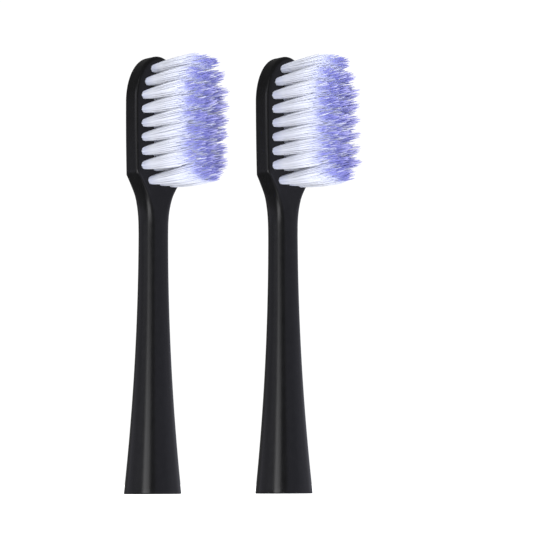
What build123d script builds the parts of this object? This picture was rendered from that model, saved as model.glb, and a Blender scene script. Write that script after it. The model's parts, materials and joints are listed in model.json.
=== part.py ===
from build123d import *
from math import cos, radians, sin
import os

os.makedirs("parts", exist_ok=True)

# A pair of replacement brush heads for an electric toothbrush, standing side by side on
# their open ends. Each head is a hollow neck that widens into a flat plate, with nine rows
# of bristle tufts on the plate's front and a socket for the handle's drive shaft below.
# All sizes are in millimetres. The origin is the centre of the left head's socket mouth.

# The pair
HEAD_SPACING = 22.0
HEAD_TURN = 45.0
HEADS = {"left": 0.0, "right": HEAD_SPACING}

# Neck: its outside narrows along a parabola from the base to NECK_TOP, then runs straight
BASE_RADIUS = 4.8
NECK_RADIUS = 2.5
NECK_TOP = 44.0
NECK_WALL = 0.75
BASE_EDGE_RADIUS = 0.2
CAVITY_TOP = 40.0

# Plate that carries the bristles
PLATE_BACK = 1.5
PLATE_FRONT = 1.9
SHOULDER_HEIGHT = 53.6
PLATE_HALF_WIDTH = 5.5
DOME_HEIGHT = 66.1
DOME_RISE = 8.2
BACK_EDGE_RADIUS = 0.8
FRONT_EDGE_RADIUS = 0.35

# Flare between neck and plate, as rounded sections:
# (height, half width, depth behind the axis, depth in front, back radius, front radius)
FLARE_SECTIONS = (
    (NECK_TOP, 2.52, 2.52, 2.52, 2.47, 2.47),
    (46.0, 2.55, 2.52, 2.51, 2.45, 2.45),
    (48.0, 2.72, 2.45, 2.40, 2.28, 2.12),
    (50.2, 3.30, 2.15, 2.06, 1.80, 1.40),
    (52.0, 4.20, 1.82, 1.92, 1.20, 0.80),
    (SHOULDER_HEIGHT, PLATE_HALF_WIDTH, PLATE_BACK, PLATE_FRONT, BACK_EDGE_RADIUS, FRONT_EDGE_RADIUS),
)

# Tuft rows, evenly spaced from the top down, with each tuft's place across the plate
TOP_ROW_HEIGHT = 71.8
ROW_PITCH = 2.4
CROWN_PLACES = (-1.8, 0.0, 1.8)
SECOND_PLACES = (-3.15, -1.05, 1.05, 3.15)
FULL_PLACES = (-3.9, -1.3, 1.3, 3.9)
FULL_ROWS = 6
LAST_PLACES = (-2.35, 0.0, 2.35)
ROW_PLACES = (CROWN_PLACES, SECOND_PLACES, *[FULL_PLACES] * FULL_ROWS, LAST_PLACES)
TUFT_ROWS = [(TOP_ROW_HEIGHT - ROW_PITCH * row, places) for row, places in enumerate(ROW_PLACES)]
TUFT_HOLE_RADIUS = 0.75
TUFT_HOLE_DEPTH = 2.3
TUFT_RADIUS = 0.72
TUFT_SPREAD_ANGLE = 0.6
TUFT_REACH = 11.5
ANCHOR_WIDTH = 1.6
ANCHOR_THICKNESS = 0.3
ANCHOR_HEIGHT = 0.9

# Seal ring in the socket mouth
MOUTH_RADIUS = 3.95
MOUTH_DEPTH = 2.6
SEAL_BORE_RADIUS = 3.2
SEAL_HEIGHT = 2.3
BONDED_GAP = 0.05

# Core: a ribbed sleeve bonded into the neck, whose bore takes the drive shaft
CORE_BOTTOM = 2.9
CORE_FLANGE_TOP = 3.9
CORE_RIBS_TOP = 21.0
CORE_TOP = 23.5
SLEEVE_RADIUS = 2.15
RIB_THICKNESS = 0.7
SHAFT_BORE_RADIUS = 1.7
SHAFT_BORE_TOP = 22.0
KEY_WIDTH = 0.6
KEY_CREST_RADIUS = 1.5
KEY_BOTTOM = 5.0

# Retaining spring: a bent steel leaf in a window at the back of the core. Each point is
# (distance from the axis, height) on the middle of the strip.
LEAF_THICKNESS = 0.2
LEAF_WIDTH = 1.2
LEAF_PATH = ((2.5, 6.85), (1.88, 6.85), (1.88, 9.0), (1.6, 13.4), (1.9, 17.3))
WINDOW_WIDTH = 1.4
WINDOW_BOTTOM = 6.6
WINDOW_TOP = 17.6
WINDOW_DEPTH = 2.2
BOSS_WIDTH = 2.4
BOSS_REACH = 2.75
BOSS_BOTTOM = 5.6
BOSS_TOP = 8.2
TAB_SLOT_REACH = 2.65
TAB_SLOT_TOP = 7.1

# Directions of a turned head: across its plate, and the way its bristles point
ACROSS = Vector(cos(radians(HEAD_TURN)), sin(radians(HEAD_TURN)), 0)
FORWARD = Vector(sin(radians(HEAD_TURN)), -cos(radians(HEAD_TURN)), 0)


def level(head_x, height):
    """Horizontal plane of a head: x runs across its plate and y towards its back."""
    return Plane(origin=(head_x, 0, height), x_dir=ACROSS, z_dir=(0, 0, 1))


def facing(head_x, distance):
    """Upright plane of a head, this far in front of its axis: x runs across, y up."""
    return Plane(origin=Vector(head_x, 0, 0) + FORWARD * distance, x_dir=ACROSS, z_dir=FORWARD)


def side_on(head_x, distance):
    """Upright plane of a head, this far to one side: x runs towards its back, y up."""
    return Plane(origin=Vector(head_x, 0, 0) + ACROSS * distance, x_dir=FORWARD * -1, z_dir=ACROSS)


def axis_of(head_x):
    """Upright axis of a head."""
    return Axis((head_x, 0, 0), (0, 0, 1))


def neck_radius(height, inset):
    """Radius of the neck's parabola at a height, moved in by an inset."""
    return NECK_RADIUS - inset + (BASE_RADIUS - NECK_RADIUS) * (1 - height / NECK_TOP) ** 2


def neck_curve(inset):
    """The neck's parabola from the base to NECK_TOP, moved in by an inset."""
    return Bezier(
        (BASE_RADIUS - inset, 0),
        (NECK_RADIUS - inset, NECK_TOP / 2),
        (NECK_RADIUS - inset, NECK_TOP),
    )


def keep(piece, name):
    """Label a finished piece and write its STEP file."""
    piece.part.label = name
    export_step(piece.part, f"parts/{name}.step")


def make_neck_shell(side, head_x):
    """Outer moulding: plate, flare and hollow neck, with a blind hole for every tuft."""
    with BuildPart() as neck_shell:
        # plate, with its outline rounded over on both faces
        with BuildSketch(facing(head_x, -PLATE_BACK)):
            with BuildLine():
                Line((-PLATE_HALF_WIDTH, SHOULDER_HEIGHT), (PLATE_HALF_WIDTH, SHOULDER_HEIGHT))
                Line((PLATE_HALF_WIDTH, SHOULDER_HEIGHT), (PLATE_HALF_WIDTH, DOME_HEIGHT))
                EllipticalCenterArc((0, DOME_HEIGHT), PLATE_HALF_WIDTH, DOME_RISE, arc_size=180)
                Line((-PLATE_HALF_WIDTH, DOME_HEIGHT), (-PLATE_HALF_WIDTH, SHOULDER_HEIGHT))
            make_face()
        extrude(amount=PLATE_BACK + PLATE_FRONT)
        plate_faces = faces().sort_by(Axis((head_x, 0, 0), FORWARD))
        back_outline = plate_faces[0].edges().sort_by(Axis.Z)[1:]
        front_outline = plate_faces[-1].edges().sort_by(Axis.Z)[1:]
        fillet(back_outline, radius=BACK_EDGE_RADIUS)
        fillet(front_outline, radius=FRONT_EDGE_RADIUS)

        # flare, from a round section on top of the neck to the plate's own section
        for height, half_width, back, front, back_radius, front_radius in FLARE_SECTIONS:
            with BuildSketch(level(head_x, height)) as section:
                with Locations((0, (back - front) / 2)):
                    Rectangle(2 * half_width, back + front)
                front_corners = section.vertices().sort_by(Axis.Y)[:2]
                fillet(front_corners, radius=front_radius)
                back_corners = section.vertices().sort_by(Axis.Y)[-2:]
                fillet(back_corners, radius=back_radius)
        loft()

        # neck
        with BuildSketch(facing(head_x, 0)):
            with BuildLine():
                neck_curve(0)
                Line((NECK_RADIUS, NECK_TOP), (0, NECK_TOP))
                Line((0, NECK_TOP), (0, 0))
                Line((0, 0), (BASE_RADIUS, 0))
            make_face()
        revolve(axis=axis_of(head_x))
        fillet(edges().group_by(Axis.Z)[0], radius=BASE_EDGE_RADIUS)

        # hollow of the neck, and the wider mouth that holds the seal ring
        with BuildSketch(facing(head_x, 0)):
            with BuildLine():
                neck_curve(NECK_WALL)
                Line((NECK_RADIUS - NECK_WALL, NECK_TOP), (0, NECK_TOP))
                Line((0, NECK_TOP), (0, 0))
                Line((0, 0), (BASE_RADIUS - NECK_WALL, 0))
            make_face()
            with Locations((0, CAVITY_TOP)):
                Rectangle(2 * BASE_RADIUS, NECK_TOP, align=(Align.CENTER, Align.MIN), mode=Mode.SUBTRACT)
        revolve(axis=axis_of(head_x), mode=Mode.SUBTRACT)
        with BuildSketch(level(head_x, 0)):
            Circle(MOUTH_RADIUS)
        extrude(amount=MOUTH_DEPTH, mode=Mode.SUBTRACT)

        # blind holes for the tufts
        with BuildSketch(facing(head_x, PLATE_FRONT - TUFT_HOLE_DEPTH)):
            for height, places in TUFT_ROWS:
                with Locations(*[(place, height) for place in places]):
                    Circle(TUFT_HOLE_RADIUS)
        extrude(amount=2 * TUFT_HOLE_DEPTH, mode=Mode.SUBTRACT)
    keep(neck_shell, f"{side}_neck_shell")


def make_base_seal(side, head_x):
    """Seal ring that lies in the socket mouth, flush with the base."""
    with BuildPart() as base_seal:
        with BuildSketch(level(head_x, 0)):
            Circle(MOUTH_RADIUS - BONDED_GAP)
            Circle(SEAL_BORE_RADIUS, mode=Mode.SUBTRACT)
        extrude(amount=SEAL_HEIGHT)
    keep(base_seal, f"{side}_base_seal")


def make_shaft_core(side, head_x):
    """Ribbed sleeve inside the neck, with a keyed bore and a window for the spring."""
    with BuildPart() as shaft_core:
        # plug that follows the neck's hollow, cut back to a flange, four ribs and a sleeve
        with BuildSketch(facing(head_x, 0)):
            with BuildLine():
                neck_curve(NECK_WALL + BONDED_GAP)
                Line((neck_radius(NECK_TOP, NECK_WALL + BONDED_GAP), NECK_TOP), (0, NECK_TOP))
                Line((0, NECK_TOP), (0, 0))
                Line((0, 0), (neck_radius(0, NECK_WALL + BONDED_GAP), 0))
            make_face()
            with Locations((0, CORE_TOP)):
                Rectangle(2 * BASE_RADIUS, NECK_TOP, align=(Align.CENTER, Align.MIN), mode=Mode.SUBTRACT)
            with Locations((0, CORE_BOTTOM)):
                Rectangle(2 * BASE_RADIUS, NECK_TOP, align=(Align.CENTER, Align.MAX), mode=Mode.SUBTRACT)
        revolve(axis=axis_of(head_x))
        with BuildSketch(level(head_x, CORE_FLANGE_TOP)):
            Circle(BASE_RADIUS)
            Circle(SLEEVE_RADIUS, mode=Mode.SUBTRACT)
            with PolarLocations(0, 2, start_angle=45):
                Rectangle(2 * BASE_RADIUS, RIB_THICKNESS, mode=Mode.SUBTRACT)
        extrude(amount=CORE_RIBS_TOP - CORE_FLANGE_TOP, mode=Mode.SUBTRACT)

        # boss that backs the foot of the spring
        with BuildSketch(level(head_x, BOSS_BOTTOM)):
            with Locations((0, SHAFT_BORE_RADIUS)):
                Rectangle(BOSS_WIDTH, BOSS_REACH - SHAFT_BORE_RADIUS, align=(Align.CENTER, Align.MIN))
        extrude(amount=BOSS_TOP - BOSS_BOTTOM)

        # bore for the drive shaft, and the key along its front
        with BuildSketch(level(head_x, CORE_BOTTOM)):
            Circle(SHAFT_BORE_RADIUS)
        extrude(amount=SHAFT_BORE_TOP - CORE_BOTTOM, mode=Mode.SUBTRACT)
        with BuildSketch(level(head_x, KEY_BOTTOM)):
            with Locations((0, -KEY_CREST_RADIUS)):
                Rectangle(KEY_WIDTH, SLEEVE_RADIUS - KEY_CREST_RADIUS, align=(Align.CENTER, Align.MAX))
            Circle(SLEEVE_RADIUS, mode=Mode.INTERSECT)
        extrude(amount=SHAFT_BORE_TOP - KEY_BOTTOM)

        # window for the spring, and the slot in the boss for its bent foot
        with BuildSketch(level(head_x, WINDOW_BOTTOM)):
            Rectangle(WINDOW_WIDTH, WINDOW_DEPTH, align=(Align.CENTER, Align.MIN))
        extrude(amount=WINDOW_TOP - WINDOW_BOTTOM, mode=Mode.SUBTRACT)
        with BuildSketch(level(head_x, WINDOW_BOTTOM)):
            Rectangle(WINDOW_WIDTH, TAB_SLOT_REACH, align=(Align.CENTER, Align.MIN))
        extrude(amount=TAB_SLOT_TOP - WINDOW_BOTTOM, mode=Mode.SUBTRACT)
    keep(shaft_core, f"{side}_shaft_core")


def make_retaining_spring(side, head_x):
    """Steel leaf whose crest reaches into the bore and grips the drive shaft."""
    with BuildPart() as retaining_spring:
        with BuildSketch(side_on(head_x, -LEAF_WIDTH / 2)):
            with BuildLine():
                Polyline(*LEAF_PATH)
            trace(line_width=LEAF_THICKNESS)
        extrude(amount=LEAF_WIDTH)
    keep(retaining_spring, f"{side}_retaining_spring")


def make_tuft_anchors(side, head_x):
    """Metal anchors, one across the bottom of every tuft hole, that pin the folded tufts."""
    with BuildPart() as tuft_anchors:
        with BuildSketch(facing(head_x, PLATE_FRONT - TUFT_HOLE_DEPTH)):
            for height, places in TUFT_ROWS:
                with Locations(*[(place, height) for place in places]):
                    Rectangle(ANCHOR_WIDTH, ANCHOR_THICKNESS)
        extrude(amount=ANCHOR_HEIGHT)
    keep(tuft_anchors, f"{side}_tuft_anchors")


def make_tuft_row(side, head_x, number, height, places):
    """One row of bristle tufts, each a bundle that spreads slightly towards its tips."""
    tuft_foot = PLATE_FRONT - TUFT_HOLE_DEPTH + ANCHOR_HEIGHT
    with BuildPart() as tuft_row:
        with BuildSketch(facing(head_x, tuft_foot)):
            with Locations(*[(place, height) for place in places]):
                Circle(TUFT_RADIUS)
        extrude(amount=PLATE_FRONT + TUFT_REACH - tuft_foot, taper=-TUFT_SPREAD_ANGLE)
    keep(tuft_row, f"{side}_tufts_row_{number}")


for head_side, head_place in HEADS.items():
    make_neck_shell(head_side, head_place)
    make_base_seal(head_side, head_place)
    make_shaft_core(head_side, head_place)
    make_retaining_spring(head_side, head_place)
    make_tuft_anchors(head_side, head_place)
    for row_number, (row_height, row_places) in enumerate(TUFT_ROWS, start=1):
        make_tuft_row(head_side, head_place, row_number, row_height, row_places)
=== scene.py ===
import json
import math
import random

import bmesh
import bpy
from mathutils import Matrix, Vector


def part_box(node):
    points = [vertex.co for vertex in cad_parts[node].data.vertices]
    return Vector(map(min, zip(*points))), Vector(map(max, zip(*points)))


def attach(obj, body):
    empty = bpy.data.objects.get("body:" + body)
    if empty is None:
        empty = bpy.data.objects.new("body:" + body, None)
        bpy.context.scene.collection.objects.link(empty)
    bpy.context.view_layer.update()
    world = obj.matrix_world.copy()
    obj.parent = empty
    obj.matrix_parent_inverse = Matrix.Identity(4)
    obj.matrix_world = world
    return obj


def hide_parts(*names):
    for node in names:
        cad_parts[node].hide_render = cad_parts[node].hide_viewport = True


# A pair of replacement brush heads for an electric toothbrush, standing side by side on a
# white sweep. The shells and every bristle are made here; what lies inside stays as packed.
# Lengths named ..._MM are in millimetres and are turned into metres where a mesh is written.
# All other lengths are in metres.

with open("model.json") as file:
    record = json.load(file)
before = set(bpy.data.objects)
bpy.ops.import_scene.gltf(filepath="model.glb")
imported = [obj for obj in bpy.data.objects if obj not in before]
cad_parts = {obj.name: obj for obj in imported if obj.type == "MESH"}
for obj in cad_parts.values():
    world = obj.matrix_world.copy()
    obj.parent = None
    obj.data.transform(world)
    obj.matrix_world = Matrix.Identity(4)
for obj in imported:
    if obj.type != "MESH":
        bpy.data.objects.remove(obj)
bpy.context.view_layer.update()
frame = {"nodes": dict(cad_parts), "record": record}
record = frame["record"]
MM = 0.001
SIDES = ("left", "right")
SEED = 7
random.seed(SEED)

# ------------------------------------------------------------------ where the heads stand


def mouth_of(side):
    """Centre of a head's socket mouth, where its axis meets the floor."""
    places = {mount["name"]: mount["pos_m"] for mount in record["mounts"]}
    return Vector(places[f"{side}_mouth"])


def box_centre(node):
    """Middle of a CAD node's box."""
    low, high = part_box(node)
    return (Vector(low) + Vector(high)) / 2


def head_matrix(side):
    """Places a head: x runs across its plate, y towards its back, z up, in millimetres."""
    axis_point = mouth_of(side)
    bristles = box_centre(f"{side}_tufts_row_5") - axis_point
    turn = math.atan2(bristles.x, -bristles.y)
    return Matrix.Translation(axis_point) @ Matrix.Rotation(turn, 4, "Z") @ Matrix.Scale(MM, 4)


PAIR_CENTRE = (mouth_of("left") + mouth_of("right")) / 2
HEAD_HEIGHT_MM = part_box("left_neck_shell")[1][2] / MM

# ------------------------------------------------------------------ shapes, in millimetres

# Neck: a parabola from the base to NECK_TOP_MM
BASE_RADIUS_MM = 4.8
NECK_RADIUS_MM = 2.5
NECK_TOP_MM = 44.0
NECK_WALL_MM = 0.75
BASE_EDGE_MM = 0.2
MOUTH_RADIUS_MM = 3.95
MOUTH_DEPTH_MM = 2.6
CAVITY_TOP_MM = 40.0
ROUND_SHARE = 0.985
WELD_MM = 0.002
SHARP_DEGREES = 40

# Plate, and the flare below it as rounded sections:
# (height, half width, depth behind the axis, depth in front, back radius, front radius)
PLATE_BACK_MM = 1.5
PLATE_FRONT_MM = 1.9
SHOULDER_MM = 53.6
DOME_MM = 66.1
SHOULDER_HALF_MM = 5.3
PLATE_HALF_MM = 5.5
BACK_EDGE_MM = 0.8
FRONT_EDGE_MM = 0.8
FLARE = (
    (NECK_TOP_MM, 2.50, 2.50, 2.50, 2.46, 2.46),
    (46.0, 2.54, 2.51, 2.50, 2.44, 2.42),
    (48.0, 2.72, 2.44, 2.40, 2.26, 2.09),
    (50.2, 3.30, 2.14, 2.06, 1.80, 1.35),
    (52.0, 4.22, 1.82, 1.92, 1.20, 0.90),
    (SHOULDER_MM, SHOULDER_HALF_MM, PLATE_BACK_MM, PLATE_FRONT_MM, BACK_EDGE_MM, FRONT_EDGE_MM),
)

# Steps around a ring of the shell, and rings along its stretches
ARC_STEPS = 14
FLAT_STEPS = 10
SIDE_STEPS = 4
CAVITY_STEPS = 24
BASE_EDGE_STEPS = 6
NECK_STEPS = 60
FLARE_STEPS = 40
PLATE_STEPS = 20
CROWN_STEPS = 40

# Tufts: where each row's tufts stand across the plate, from the top row down
CROWN_PLACES_MM = (-1.8, 0.0, 1.8)
SECOND_PLACES_MM = (-3.15, -1.05, 1.05, 3.15)
FULL_PLACES_MM = (-3.9, -1.3, 1.3, 3.9)
LAST_PLACES_MM = (-2.35, 0.0, 2.35)
ROW_PLACES_MM = (CROWN_PLACES_MM, SECOND_PLACES_MM, *[FULL_PLACES_MM] * 6, LAST_PLACES_MM)
ROOT_RADIUS_MM = 0.56
ROOT_DEPTH_MM = 0.25

# Filaments: VIOLET_SHARE of them are long and end in a taper, the others are shorter and blunt
FILAMENTS_PER_TUFT = 64
VIOLET_SHARE = 0.55
FILAMENT_RADIUS_MM = 0.1
FILAMENT_SIDES = 6
TAPER_MM = 1.6
TAPERED_TIP = 0.3
TAPER_POWER = 0.7
BLUNT_TIP = 0.35
BLUNT_ROUND_MM = 0.12
TAPERED_SHARES = (0.0, 0.05, 0.13, 0.25, 0.43, 0.64, 0.8, 0.9, 0.96, 0.985, 1.0)
BLUNT_SHARES = (0.0, 0.05, 0.13, 0.25, 0.43, 0.66, 0.85, 0.985, 1.0)

# Lengths, which fall off by DOME_DROP from the middle of a tuft to its edge, and how much
# shorter each row is and how far its tips rise, from the top row down
WHITE_LENGTH_MM = 10.6
VIOLET_LENGTH_MM = 12.15
LONGEST_MM = 12.4
LENGTH_VARIES_MM = 0.2
DOME_DROP = 0.16
ROW_CUTS_MM = (0.4, 0.2, 0.0, 0.0, 0.0, 0.0, 0.0, 0.0, -0.3)
ROW_LIFTS_MM = (0.05, 0.1, 0.1, 0.1, 0.1, 0.1, 0.1, 0.2, 0.45)

# How a tuft fans out along its length, and how far tufts and filaments stray from that
SPREAD = 1.8
SPREAD_POWER = 0.8
PINCH = 0.3
PINCH_POWER = 4
TUFT_STRAYS_MM = 0.05
TAPERED_STRAYS_MM = 0.11
BLUNT_STRAYS_MM = 0.06

# Where the violet starts: further out by a row's ROW_PALES_MM, and nearer the roots by
# VIOLET_SLANT per millimetre across the plate
ROW_PALES_MM = (0.6, 0.1, 0.0, 0.0, 0.0, 0.0, 0.0, 0.1, 0.6)
VIOLET_SLANT = 0.25

# A filament's tint runs from 0, which stays white, to FULL_TINT, which has all of the violet.
# It is drawn up to TINT_REACH, and lower at the upper and lower edge of a tuft.
FULL_TINT = 0.25
TINT_REACH = 1.2

# Shading normals: OWN_SHARE of a filament's own roundness, the rest the outside of its tuft,
# which turns into the outside of the whole brush by BLOCK_SHARE towards the tips
OWN_SHARE = 0.4
BLOCK_SHARE = 0.8
BLOCK_FROM_MM = 5.0
BLOCK_FADE_MM = 4.5
BLOCK_WIDTH_MM = 8
BLOCK_FORWARD = 0.8

# ------------------------------------------------------------------ mesh helpers


def mesh_object(name, vertices, faces, matrix):
    """A mesh object, from points in a head's own millimetres and the matrix that places it."""
    mesh = bpy.data.meshes.new(name)
    mesh.from_pydata([matrix @ Vector(point) for point in vertices], [], faces)
    mesh.update()
    piece = bpy.data.objects.new(name, mesh)
    bpy.context.scene.collection.objects.link(piece)
    return piece


def weld(piece, distance):
    """Joins points that lie together, and turns every face outwards."""
    shape = bmesh.new()
    shape.from_mesh(piece.data)
    bmesh.ops.remove_doubles(shape, verts=shape.verts, dist=distance)
    bmesh.ops.recalc_face_normals(shape, faces=shape.faces)
    shape.to_mesh(piece.data)
    shape.free()


def smooth(piece, sharp_degrees):
    """Smooth shading that breaks at edges sharper than this."""
    piece.data.shade_smooth()
    piece.data.set_sharp_from_angle(angle=math.radians(sharp_degrees))


def span(start, end, steps):
    """Evenly spaced values from start to end, both included."""
    return [start + (end - start) * step / steps for step in range(steps + 1)]


def band_faces(first, rings, count):
    """Faces between neighbouring rings of count points each, from point number first on."""
    faces = []
    for row in range(rings - 1):
        low, high = first + row * count, first + (row + 1) * count
        for column in range(count):
            following = (column + 1) % count
            faces.append((low + column, low + following, high + following, high + column))
    return faces


# ------------------------------------------------------------------ shell


def neck_radius(height, inset=0.0):
    """Outer radius of the neck at a height, moved in by an inset."""
    share = 1 - min(height, NECK_TOP_MM) / NECK_TOP_MM
    return NECK_RADIUS_MM + (BASE_RADIUS_MM - NECK_RADIUS_MM) * share**2 - inset


def flare_section(height):
    """The flare's section at a height, on a smooth curve through the rows of FLARE."""
    index = max(i for i in range(len(FLARE) - 1) if FLARE[i][0] <= height)
    here, there = FLARE[index], FLARE[index + 1]
    before = FLARE[max(index - 1, 0)]
    after = FLARE[min(index + 2, len(FLARE) - 1)]
    t = (height - here[0]) / (there[0] - here[0])
    values = []
    for column in range(1, len(here)):
        gap = there[0] - here[0]
        slope_in = (there[column] - before[column]) / (there[0] - before[0]) * gap
        slope_out = (after[column] - here[column]) / (after[0] - here[0]) * gap
        values.append(
            (2 * t**3 - 3 * t**2 + 1) * here[column]
            + (t**3 - 2 * t**2 + t) * slope_in
            + (3 * t**2 - 2 * t**3) * there[column]
            + (t**3 - t**2) * slope_out
        )
    return values


def ring(height, half, back, front, back_radius, front_radius, lean=0.0):
    """One ring of the shell: a rounded rectangle whose sides lean inwards by an angle."""
    profile = []
    for angle in span(-math.pi / 2, 0, ARC_STEPS):
        inset = front_radius * (1 - math.cos(angle))
        profile.append((inset, -front + front_radius * (1 + math.sin(angle))))
    for y in span(-front + front_radius, back - back_radius, SIDE_STEPS)[1:-1]:
        profile.append((0.0, y))
    for angle in span(0, math.pi / 2, ARC_STEPS):
        inset = back_radius * (1 - math.cos(angle))
        profile.append((inset, back - back_radius * (1 - math.sin(angle))))
    right = []
    for inset, y in profile:
        right.append((half - inset * math.cos(lean), y, height - inset * math.sin(lean)))
    left = [(-x, y, z) for x, y, z in reversed(right)]
    back_row = across(right[-1], left[0])
    front_row = across(left[-1], right[0])
    return right + back_row + left + front_row


def across(start, end):
    """Points between two ends of a flat, without the ends."""
    start, end = Vector(start), Vector(end)
    return [tuple(start.lerp(end, step / FLAT_STEPS)) for step in range(1, FLAT_STEPS)]


def round_ring(height, radius):
    """A ring that is round to the eye, with the same number of points as every other."""
    corner = radius * ROUND_SHARE
    return ring(height, radius, radius, radius, corner, corner)


def shell_rings():
    """All rings of the shell, from the top of its hollow, down and out, then up to the crown."""
    rings = []
    for height in span(CAVITY_TOP_MM, MOUTH_DEPTH_MM, CAVITY_STEPS):
        rings.append(round_ring(height, neck_radius(height, NECK_WALL_MM)))
    rings.append(round_ring(MOUTH_DEPTH_MM, MOUTH_RADIUS_MM))
    rings.append(round_ring(0.0, MOUTH_RADIUS_MM))
    for angle in span(0, math.pi / 2, BASE_EDGE_STEPS):
        height = BASE_EDGE_MM * (1 - math.cos(angle))
        radius = neck_radius(height) - BASE_EDGE_MM * (1 - math.sin(angle))
        rings.append(round_ring(height, radius))
    for height in span(BASE_EDGE_MM, NECK_TOP_MM, NECK_STEPS)[1:-1]:
        rings.append(round_ring(height, neck_radius(height)))
    for height in span(NECK_TOP_MM, SHOULDER_MM, FLARE_STEPS)[:-1]:
        rings.append(ring(height, *flare_section(height)))
    plate = (PLATE_BACK_MM, PLATE_FRONT_MM, BACK_EDGE_MM, FRONT_EDGE_MM)
    for share in span(0, 1, PLATE_STEPS)[:-1]:
        half = SHOULDER_HALF_MM + (PLATE_HALF_MM - SHOULDER_HALF_MM) * (2 * share - share**2)
        rings.append(ring(SHOULDER_MM + (DOME_MM - SHOULDER_MM) * share, half, *plate))
    rise = HEAD_HEIGHT_MM - DOME_MM
    for angle in span(0, math.pi / 2, CROWN_STEPS):
        lean = math.atan2(math.sin(angle) / rise, math.cos(angle) / PLATE_HALF_MM)
        height = DOME_MM + rise * math.sin(angle)
        rings.append(ring(height, PLATE_HALF_MM * math.cos(angle), *plate, lean))
    return rings


def make_shell(side):
    """Outer moulding of one head: hollow neck, flare and plate, in one skin."""
    rings = shell_rings()
    count = len(rings[0])
    vertices = [point for points in rings for point in points]
    faces = [tuple(range(count)), *band_faces(0, len(rings), count)]
    shell = mesh_object(f"{side}_shell", vertices, faces, head_matrix(side))
    weld(shell, WELD_MM * MM)
    smooth(shell, SHARP_DEGREES)
    shell.data.materials.append(plastic_material())
    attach(shell, f"{side}_head")
    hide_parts(f"{side}_neck_shell")
    shell.visible_glossy = False


# ------------------------------------------------------------------ bristles


def filament_radius(along, length, tapered):
    """Radius of a filament, which ends in a long taper or a short round tip."""
    left_over = length - along
    if tapered:
        share = TAPERED_TIP + (1 - TAPERED_TIP) * (left_over / TAPER_MM) ** TAPER_POWER
    else:
        share = BLUNT_TIP + left_over / BLUNT_ROUND_MM
    return FILAMENT_RADIUS_MM * min(1.0, share)


def filament_path(root, push, length, tapered, start_y):
    """(point, radius, length so far) along a filament, which fans out from its tuft's middle."""
    points = []
    for share in TAPERED_SHARES if tapered else BLUNT_SHARES:
        along = share * length
        reach = along / WHITE_LENGTH_MM
        fan = 1 + SPREAD * (reach**SPREAD_POWER - PINCH * reach**PINCH_POWER)
        x = root[0] * fan + push[0] * reach**2
        z = root[1] * fan + push[1] * reach**2
        point = Vector((x, start_y - along, z))
        points.append((point, filament_radius(along, length, tapered), along))
    return points


def add_filament(vertices, faces, looks, centre, path, tint, outward, shift):
    """Adds one filament's tube; looks takes (place along, tint, shading normal) per point."""
    first = len(vertices)
    place = Vector((centre[0], 0, centre[1]))
    block = Vector((centre[0] / BLOCK_WIDTH_MM, -BLOCK_FORWARD, 0))
    for point, radius, along in path:
        blocked = BLOCK_SHARE * min(max((along - BLOCK_FROM_MM) / BLOCK_FADE_MM, 0), 1)
        facing = outward.lerp(block, blocked)
        for side in range(FILAMENT_SIDES):
            angle = 2 * math.pi * side / FILAMENT_SIDES
            around = Vector((math.cos(angle), 0, math.sin(angle)))
            vertices.append(tuple(point + around * radius + place))
            normal = (around * OWN_SHARE + facing * (1 - OWN_SHARE)).normalized()
            looks.append((along + shift, tint, normal))
    faces.extend(band_faces(first, len(path), FILAMENT_SIDES))
    faces.append(tuple(range(len(vertices) - FILAMENT_SIDES, len(vertices))))


def add_tuft(vertices, faces, looks, centre, row):
    """Adds one tuft: filaments packed like seeds, shorter white ones among longer violet ones."""
    golden = math.pi * (3 - math.sqrt(5))
    lean_x = random.gauss(0, TUFT_STRAYS_MM)
    lean_z = random.gauss(0, TUFT_STRAYS_MM) + ROW_LIFTS_MM[row]
    shift = VIOLET_SLANT * centre[0] - ROW_PALES_MM[row]
    for number in range(FILAMENTS_PER_TUFT):
        radius = ROOT_RADIUS_MM * math.sqrt((number + 0.5) / FILAMENTS_PER_TUFT)
        angle = golden * number
        root = (radius * math.cos(angle), radius * math.sin(angle))
        tapered = random.random() < VIOLET_SHARE
        strays = TAPERED_STRAYS_MM if tapered else BLUNT_STRAYS_MM
        push = (random.gauss(0, strays) + lean_x, random.gauss(0, strays) + lean_z)
        longest = (VIOLET_LENGTH_MM if tapered else WHITE_LENGTH_MM) - ROW_CUTS_MM[row]
        dome = 1 - DOME_DROP * number / FILAMENTS_PER_TUFT
        drawn = random.gauss(longest, LENGTH_VARIES_MM)
        length = min(drawn * dome, LONGEST_MM) + ROOT_DEPTH_MM
        path = filament_path(root, push, length, tapered, -PLATE_FRONT_MM + ROOT_DEPTH_MM)
        outward = Vector((root[0], 0, root[1])) / ROOT_RADIUS_MM
        tint = random.random() * (TINT_REACH - abs(outward.z))
        add_filament(vertices, faces, looks, centre, path, tint, outward, shift)


def store(mesh, name, values):
    """Stores one number per point of a mesh, under a name that its material reads."""
    mesh.attributes.new(name, "FLOAT", "POINT").data.foreach_set("value", values)


def make_tuft_row(side, number, places):
    """One row of tufts, every filament its own thin tube."""
    node = f"{side}_tufts_row_{number}"
    height = box_centre(node).z / MM
    vertices, faces, looks = [], [], []
    for place in places:
        add_tuft(vertices, faces, looks, (place, height), number - 1)
    matrix = head_matrix(side)
    row = mesh_object(f"{side}_bristles_row_{number}", vertices, faces, matrix)
    store(row.data, "along", [along / LONGEST_MM for along, _, _ in looks])
    store(row.data, "tint", [tint for _, tint, _ in looks])
    row.data.shade_smooth()
    turn = matrix.to_3x3().normalized()
    normals = [turn @ normal for _, _, normal in looks]
    row.data.normals_split_custom_set_from_vertices(normals)
    row.data.materials.append(bristle_material())
    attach(row, f"{side}_head")
    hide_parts(node)
    row.visible_glossy = False


# ------------------------------------------------------------------ materials

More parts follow.
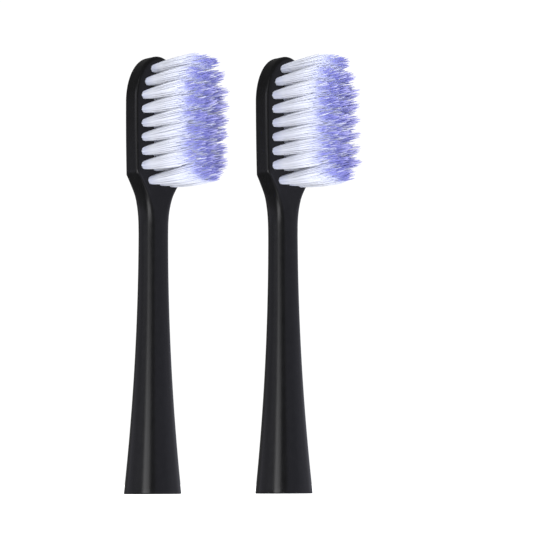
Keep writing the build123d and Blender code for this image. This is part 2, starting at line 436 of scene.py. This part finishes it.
WHITE = (1.0, 1.0, 1.0)
MILKY_WHITE = (0.85, 0.872, 0.955)

# The share of LONGEST_MM where each colour of a filament lies, from the root to the tip
FILAMENT_COLOURS = (
    # Painted shade: the roots are greyer, where the tufts shade one another near the plate
    (0.0, (0.72, 0.75, 0.88)),
    (0.15, MILKY_WHITE),
    (0.58, MILKY_WHITE),
    (0.75, (0.74, 0.77, 0.96)),
    (0.80, (0.52, 0.55, 0.90)),
    (0.85, (0.30, 0.31, 0.74)),
    (0.92, (0.35, 0.355, 0.77)),
    (1.0, (0.60, 0.595, 0.93)),
)

# Where a colour mix node keeps its two colours and its result
MIX_FROM, MIX_TO, MIX_RESULT = 6, 7, 2


def new_material(name):
    """An empty node material: (material, its nodes, its links, its shader, its output)."""
    material = bpy.data.materials.new(name)
    material.use_nodes = True
    nodes = material.node_tree.nodes
    shader = nodes["Principled BSDF"]
    output = nodes["Material Output"]
    return material, nodes, material.node_tree.links, shader, output


def noise(nodes, links, scale, detail=3.0):
    """A noise texture in the object's own metres; returns its factor socket."""
    coordinates = nodes.new("ShaderNodeTexCoord")
    texture = nodes.new("ShaderNodeTexNoise")
    texture.inputs["Scale"].default_value = scale
    texture.inputs["Detail"].default_value = detail
    links.new(coordinates.outputs["Object"], texture.inputs["Vector"])
    return texture.outputs["Fac"]


def ramp(nodes, links, factor, stops):
    """A colour ramp on a factor; stops are (position, colour)."""
    node = nodes.new("ShaderNodeValToRGB")
    elements = node.color_ramp.elements
    while len(elements) < len(stops):
        elements.new(0.5)
    for element, (position, colour) in zip(elements, stops):
        element.position = position
        element.color = (*colour, 1.0)
    links.new(factor, node.inputs["Fac"])
    return node.outputs["Color"]


def attribute(nodes, name):
    """The socket of a number that is stored on the mesh."""
    node = nodes.new("ShaderNodeAttribute")
    node.attribute_name = name
    return node.outputs["Fac"]


def map_range(nodes, links, factor, low, high, full=1.0):
    """A factor from 0 to full, moved to the range from low to high."""
    node = nodes.new("ShaderNodeMapRange")
    node.inputs["From Max"].default_value = full
    node.inputs["To Min"].default_value = low
    node.inputs["To Max"].default_value = high
    links.new(factor, node.inputs["Value"])
    return node.outputs["Result"]


def bump(nodes, links, height, distance, strength):
    """A bump normal from a height."""
    node = nodes.new("ShaderNodeBump")
    node.inputs["Distance"].default_value = distance
    node.inputs["Strength"].default_value = strength
    links.new(height, node.inputs["Height"])
    return node.outputs["Normal"]


def surface(name, dark, light, scale, rough, metallic=0.0, bump_mm=0.0, ior=1.45):
    """A plain procedural surface: colour, roughness and bump all vary with one noise."""
    if name in bpy.data.materials:
        return bpy.data.materials[name]
    material, nodes, links, shader, _ = new_material(name)
    grain = noise(nodes, links, scale)
    colour = ramp(nodes, links, grain, ((0.35, dark), (0.65, light)))
    links.new(colour, shader.inputs["Base Color"])
    links.new(map_range(nodes, links, grain, *rough), shader.inputs["Roughness"])
    if bump_mm:
        links.new(bump(nodes, links, grain, bump_mm * MM, 1.0), shader.inputs["Normal"])
    shader.inputs["Metallic"].default_value = metallic
    shader.inputs["IOR"].default_value = ior
    return material


def plastic_material():
    """Black moulded plastic with a satin gloss."""
    return surface(
        "black_plastic",
        dark=(0.0021, 0.0021, 0.0025),
        light=(0.0029, 0.0029, 0.0034),
        scale=900,
        rough=(0.22, 0.28),
        bump_mm=0.0004,
    )


def bristle_material():
    """Nylon filaments: greyer at the roots as painted shade, milky white above, then violet
    towards the tapered tips.
    """
    name = "bristle_nylon"
    if name in bpy.data.materials:
        return bpy.data.materials[name]
    material, nodes, links, shader, output = new_material(name)
    violet = ramp(nodes, links, attribute(nodes, "along"), FILAMENT_COLOURS)
    tinted = map_range(nodes, links, attribute(nodes, "tint"), low=0.0, high=1.0, full=FULL_TINT)
    mix = nodes.new("ShaderNodeMix")
    mix.data_type = "RGBA"
    mix.inputs[MIX_FROM].default_value = (*MILKY_WHITE, 1.0)
    links.new(violet, mix.inputs[MIX_TO])
    links.new(tinted, mix.inputs["Factor"])
    colour = mix.outputs[MIX_RESULT]
    links.new(colour, shader.inputs["Base Color"])
    roughness = map_range(nodes, links, noise(nodes, links, 2500), low=0.3, high=0.45)
    links.new(roughness, shader.inputs["Roughness"])
    through = nodes.new("ShaderNodeBsdfTranslucent")
    links.new(colour, through.inputs["Color"])
    blend = nodes.new("ShaderNodeMixShader")
    blend.inputs["Fac"].default_value = 0.5
    links.new(shader.outputs["BSDF"], blend.inputs[1])
    links.new(through.outputs["BSDF"], blend.inputs[2])
    links.new(blend.outputs["Shader"], output.inputs["Surface"])
    return material


def dress_packed_nodes():
    """Materials for the CAD nodes that stay: what lies inside the neck and the plate."""
    looks = {
        "base_seal": surface(
            "seal_rubber",
            dark=(0.010, 0.010, 0.011),
            light=(0.018, 0.018, 0.019),
            scale=1500,
            rough=(0.55, 0.75),
            bump_mm=0.002,
        ),
        "shaft_core": surface(
            "core_plastic",
            dark=(0.50, 0.51, 0.52),
            light=(0.58, 0.59, 0.60),
            scale=1200,
            rough=(0.4, 0.5),
            bump_mm=0.001,
        ),
        "retaining_spring": surface(
            "spring_steel",
            dark=(0.50, 0.50, 0.51),
            light=(0.62, 0.62, 0.63),
            scale=4000,
            rough=(0.22, 0.35),
            metallic=1.0,
        ),
        "tuft_anchors": surface(
            "anchor_brass",
            dark=(0.60, 0.42, 0.17),
            light=(0.72, 0.53, 0.25),
            scale=3000,
            rough=(0.25, 0.4),
            metallic=1.0,
        ),
    }
    for side in SIDES:
        for part, material in looks.items():
            node = frame["nodes"][f"{side}_{part}"]
            node.data.materials.clear()
            node.data.materials.append(material)
            node.visible_glossy = False


# ------------------------------------------------------------------ floor, light and camera

# The camera stands level with the bases, in front of the pair and looking up at it
CAMERA_DISTANCE = 0.330
CAMERA_HEIGHT = 0.00175
LENS_MM = 130.5
SENSOR_MM = 36.0
AIM_RIGHT = 0.00878
AIM_HEIGHT = 0.0377
CAMERA_ROLL = -0.2
CLIP_START = 0.01
CLIP_END = 20.0

# Boxes aimed at the pair: (name, azimuth from the camera's side, elevation, distance,
# width, height, brightness, colour, whether it shows in the gloss or fills)
BOXES = (
    ("top_box", 25, 50, 0.60, 0.80, 0.50, 1.0, WHITE, False),
    ("front_box", 5, -14, 0.50, 0.50, 0.30, 5.2, WHITE, False),
    ("under_panel", 75, -50, 0.50, 0.90, 0.90, 0.40, (0.95, 0.95, 1.2), True),
)

# Upright panels that show in the gloss, and that fill nothing: (name, azimuth from the
# camera's side, distance, width, bottom, top, brightness, colour)
PANELS = (
    ("strip", -36, 0.55, 0.10, -0.10, 0.60, 1.15, (1.0, 1.0, 1.02)),
    ("strip_foot", -4, 0.55, 0.12, -0.40, -0.14, 1.60, (1.0, 1.0, 1.02)),
    ("low_strip", -27, 0.20, 0.085, -0.02, 0.05, 3.0, (1.0, 1.0, 1.02)),
    ("edge_panel", -60, 0.60, 0.40, 0.16, 0.34, 1.2, (1.0, 1.0, 1.1)),
    ("left_panel", -86, 0.60, 1.00, -0.02, 0.15, 0.24, (0.97, 0.97, 1.2)),
    ("right_panel", 58, 0.60, 1.25, -0.30, 0.20, 0.30, (0.90, 0.90, 1.18)),
    ("upper_right", 58, 0.60, 1.25, 0.20, 0.60, 0.22, (0.90, 0.90, 1.18)),
    ("far_right", 136.5, 0.60, 0.75, -0.30, 0.60, 0.20, (0.90, 0.90, 1.18)),
    ("low_left", -100, 0.25, 0.40, -0.05, 0.055, 0.06, (1.0, 1.0, 1.1)),
    ("low_right", 105, 0.25, 0.40, -0.30, 0.055, 0.12, (1.0, 1.0, 1.1)),
)

# How bright the world is: as a fill, in the gloss, and to the camera
WORLD_FILLS = 1.0
WORLD_IN_GLOSS = 0.13
WORLD_SEEN = 1.05

# The floor, and how much it glows as a fill and to the camera
FLOOR_SIZE = 6.0
FLOOR_FILLS = 0.5
FLOOR_SEEN = 0.8


def make_floor():
    """White floor that runs out into the white background."""
    mesh = bpy.data.meshes.new("floor")
    half = FLOOR_SIZE / 2
    corners = [(-half, -half), (half, -half), (half, half), (-half, half)]
    mesh.from_pydata([(x, y, 0.0) for x, y in corners], [], [(0, 1, 2, 3)])
    floor = bpy.data.objects.new("floor", mesh)
    bpy.context.scene.collection.objects.link(floor)
    material, nodes, links, shader, _ = new_material("white_sweep")
    greys = ((0.3, (0.84, 0.84, 0.84)), (0.7, (0.87, 0.87, 0.87)))
    colour = ramp(nodes, links, noise(nodes, links, 3.0), greys)
    links.new(colour, shader.inputs["Base Color"])
    shader.inputs["Roughness"].default_value = 0.9
    shader.inputs["Specular IOR Level"].default_value = 0.0
    seen = nodes.new("ShaderNodeLightPath").outputs["Is Camera Ray"]
    glow = map_range(nodes, links, seen, low=FLOOR_FILLS, high=FLOOR_SEEN)
    shader.inputs["Emission Color"].default_value = (*WHITE, 1.0)
    links.new(glow, shader.inputs["Emission Strength"])
    mesh.materials.append(material)
    floor.visible_glossy = False
    floor.visible_shadow = False


def make_world():
    """White to the eye, bright for what it fills and dim in the gloss."""
    world = bpy.data.worlds.new("studio")
    world.use_nodes = True
    nodes, links = world.node_tree.nodes, world.node_tree.links
    rays = nodes.new("ShaderNodeLightPath").outputs
    fill = map_range(nodes, links, rays["Is Glossy Ray"], low=WORLD_FILLS, high=WORLD_IN_GLOSS)
    seen = map_range(nodes, links, rays["Is Camera Ray"], low=0.0, high=WORLD_SEEN)
    brighter = nodes.new("ShaderNodeMath")
    brighter.operation = "MAXIMUM"
    links.new(seen, brighter.inputs[0])
    links.new(fill, brighter.inputs[1])
    background = nodes["Background"]
    links.new(brighter.outputs["Value"], background.inputs["Strength"])
    background.inputs["Color"].default_value = (*WHITE, 1.0)
    bpy.context.scene.world = world


def point_at(thing, target):
    """Turns a light or camera to look at a point."""
    thing.rotation_euler = (target - thing.location).to_track_quat("-Z", "Y").to_euler()


def make_light(name, location, target, width, height, brightness, colour, in_gloss):
    """A rectangular light that the camera never sees: it fills, or it shows in the gloss."""
    light = bpy.data.lights.new(name, "AREA")
    light.shape = "RECTANGLE"
    light.size = width
    light.size_y = height
    light.energy = brightness * math.pi * width * height
    light.color = colour
    light.use_shadow = not in_gloss
    lamp = bpy.data.objects.new(name, light)
    bpy.context.scene.collection.objects.link(lamp)
    lamp.location = location
    point_at(lamp, target)
    lamp.visible_camera = False
    lamp.visible_glossy = in_gloss
    lamp.visible_diffuse = not in_gloss


def make_lights():
    """All the lights, placed around the middle of the pair."""
    middle = PAIR_CENTRE + Vector((0, 0, AIM_HEIGHT))
    for name, azimuth, elevation, distance, *look in BOXES:
        turn, rise = math.radians(azimuth), math.radians(elevation)
        level = math.cos(rise)
        toward = Vector((math.sin(turn) * level, -math.cos(turn) * level, math.sin(rise)))
        make_light(name, middle + distance * toward, middle, *look)
    for name, azimuth, distance, width, bottom, top, brightness, colour in PANELS:
        turn = math.radians(azimuth)
        target = PAIR_CENTRE + Vector((0, 0, (bottom + top) / 2))
        location = target + distance * Vector((math.sin(turn), -math.cos(turn), 0))
        make_light(name, location, target, width, top - bottom, brightness, colour, True)


def make_camera():
    """A long lens level with the bases."""
    camera = bpy.data.objects.new("camera", bpy.data.cameras.new("camera"))
    camera.data.lens = LENS_MM
    camera.data.sensor_width = SENSOR_MM
    camera.data.clip_start = CLIP_START
    camera.data.clip_end = CLIP_END
    camera.location = PAIR_CENTRE + Vector((0, -CAMERA_DISTANCE, CAMERA_HEIGHT))
    bpy.context.scene.collection.objects.link(camera)
    point_at(camera, PAIR_CENTRE + Vector((AIM_RIGHT, 0, AIM_HEIGHT)))
    camera.rotation_euler.rotate_axis("Z", math.radians(CAMERA_ROLL))
    bpy.context.scene.camera = camera


# ------------------------------------------------------------------ making it all

bpy.context.scene.view_settings.view_transform = "Standard"
make_camera()
make_world()
make_floor()
make_lights()
dress_packed_nodes()
for head_side in SIDES:
    make_shell(head_side)
    for row_number, row_places in enumerate(ROW_PLACES_MM, start=1):
        make_tuft_row(head_side, row_number, row_places)
